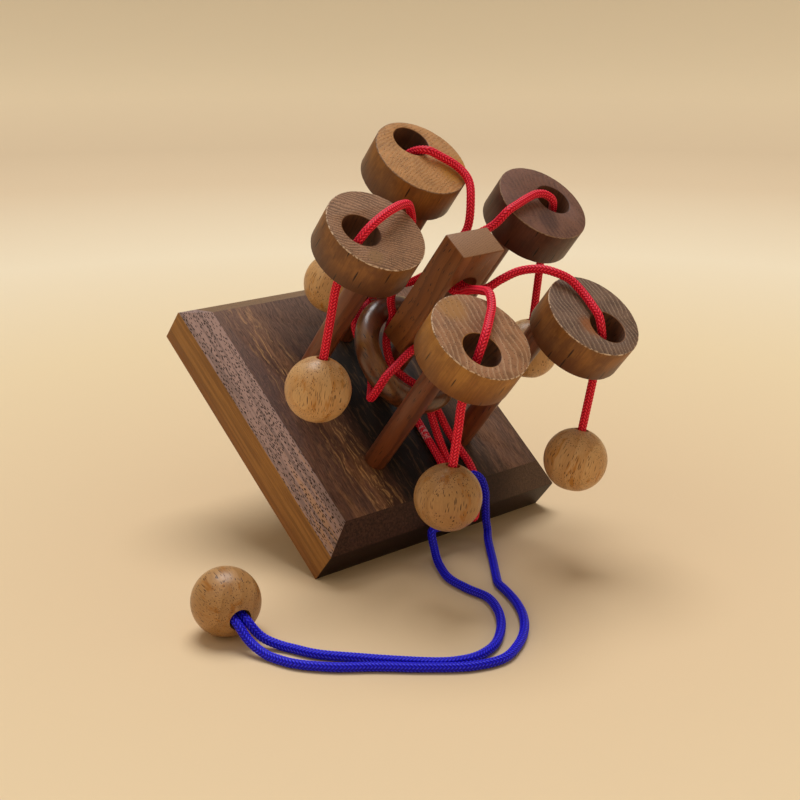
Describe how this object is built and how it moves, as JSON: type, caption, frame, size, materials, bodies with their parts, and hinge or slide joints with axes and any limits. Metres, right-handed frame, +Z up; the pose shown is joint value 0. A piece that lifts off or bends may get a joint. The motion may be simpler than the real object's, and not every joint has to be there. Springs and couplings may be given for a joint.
{
  "type": "rope puzzle",
  "caption": "Wooden rope puzzle: balls hang on red cord from discs on posts, with a loose ring and a blue cord loop.",
  "frame": {"origin": "middle of the front bottom edge of the board, the edge on which the puzzle leans back", "axes": "+X along the front bottom edge to the right, +Y away behind the board, +Z up; the underside leans back 39 degrees from level, as in the picture, and the balls hang along -Z"},
  "size_m": [0.1971, 0.1996, 0.1705],
  "materials": {
    "dark_figured_wood": "satin varnish",
    "dowel_wood": "satin varnish",
    "head_wood": "satin varnish",
    "disc_wood": "satin varnish",
    "disc_walnut": "satin varnish",
    "ball_wood": "matt",
    "ring_wood": "gloss varnish",
    "red_cord": "braided",
    "blue_cord": "braided"
  },
  "bodies": {
    "root": {"base_board": "dark_figured_wood", "middle_post_stem": "dowel_wood", "middle_post_head": "head_wood", "post_back": "dowel_wood", "post_left": "dowel_wood", "post_right": "dowel_wood", "post_front_right": "dowel_wood", "post_front_left": "dowel_wood", "disc_back": "disc_wood", "disc_left": "disc_wood", "disc_right": "disc_walnut", "disc_front_right": "disc_wood", "disc_front_left": "disc_wood", "red_cord_back_to_front_left": "red_cord", "red_cord_right_to_front_right": "red_cord", "red_cord_left_loop": "red_cord", "red_cord_tail": "red_cord"},
    "cord_end_back": {"hanging_cord_back": "red_cord"},
    "cord_end_left": {"hanging_cord_left": "red_cord"},
    "cord_end_right": {"hanging_cord_right": "red_cord"},
    "cord_end_front_right": {"hanging_cord_front_right": "red_cord"},
    "cord_end_front_left": {"hanging_cord_front_left": "red_cord"},
    "hanging_ball_back": {"ball_back": "ball_wood"},
    "hanging_ball_left": {"ball_left": "ball_wood"},
    "hanging_ball_right": {"ball_right": "ball_wood"},
    "hanging_ball_front_right": {"ball_front_right": "ball_wood"},
    "hanging_ball_front_left": {"ball_front_left": "ball_wood"},
    "loose_ring": {"wooden_ring": "ring_wood"},
    "blue_loop": {"blue_cord_loop": "blue_cord", "blue_cord_knot": "blue_cord"},
    "blue_loop_ball": {"loop_ball": "ball_wood"}
  },
  "joints": [
    {"name": "cord_swing_back", "type": "hinge", "parent": "root", "child": "cord_end_back", "pos_m": [-0.0018, 0.02601, 0.14871], "axis": [1, 0, 0], "range_deg": [-3, 40]},
    {"name": "ball_spin_back", "type": "hinge", "parent": "cord_end_back", "child": "hanging_ball_back", "pos_m": [-0.018, 0.041, 0.1055], "axis": [-0.3339, 0.3089, -0.8906], "continuous": true},
    {"name": "cord_swing_left", "type": "hinge", "parent": "root", "child": "cord_end_left", "pos_m": [-0.0547, -0.00624, 0.12259], "axis": [1, 0, 0], "range_deg": [-15, 40]},
    {"name": "ball_spin_left", "type": "hinge", "parent": "cord_end_left", "child": "hanging_ball_left", "pos_m": [-0.0605, 0, 0.077], "axis": [-0.125, 0.1346, -0.983], "continuous": true},
    {"name": "cord_swing_right", "type": "hinge", "parent": "root", "child": "cord_end_right", "pos_m": [0.0584, -0.00507, 0.12354], "axis": [1, 0, 0], "range_deg": [-15, 30]},
    {"name": "ball_spin_right", "type": "hinge", "parent": "cord_end_right", "child": "hanging_ball_right", "pos_m": [0.0515, -0.0045, 0.0745], "axis": [-0.1393, 0.0116, -0.9902], "continuous": true},
    {"name": "cord_swing_front_right", "type": "hinge", "parent": "root", "child": "cord_end_front_right", "pos_m": [0.0349, -0.05606, 0.08225], "axis": [1, 0, 0], "range_deg": [-10, 35]},
    {"name": "ball_spin_front_right", "type": "hinge", "parent": "cord_end_front_right", "child": "hanging_ball_front_right", "pos_m": [0.027, -0.0535, 0.0425], "axis": [-0.1945, 0.0629, -0.9789], "continuous": true},
    {"name": "cord_swing_front_left", "type": "hinge", "parent": "root", "child": "cord_end_front_left", "pos_m": [-0.0355, -0.05334, 0.08446], "axis": [1, 0, 0], "range_deg": [-15, 40]},
    {"name": "ball_spin_front_left", "type": "hinge", "parent": "cord_end_front_left", "child": "hanging_ball_front_left", "pos_m": [-0.0405, -0.0505, 0.0425], "axis": [-0.1181, 0.067, -0.9907], "continuous": true},
    {"name": "ring_turn", "type": "hinge", "parent": "root", "child": "loose_ring", "pos_m": [-0.0014, 0.01414, 0.07772], "axis": [0.0696, -0.8252, 0.5606], "continuous": true},
    {"name": "blue_loop_swing", "type": "hinge", "parent": "root", "child": "blue_loop", "pos_m": [0.009, -0.016, 0.012], "axis": [0, 0, 1], "range_deg": [-20, 70], "deforming": ["blue_cord_loop"]},
    {"name": "loop_ball_spin", "type": "hinge", "parent": "blue_loop", "child": "blue_loop_ball", "pos_m": [-0.1175, -0.0165, 0.0127], "axis": [-0.1751, -0.9607, -0.2152], "continuous": true}
  ]
}
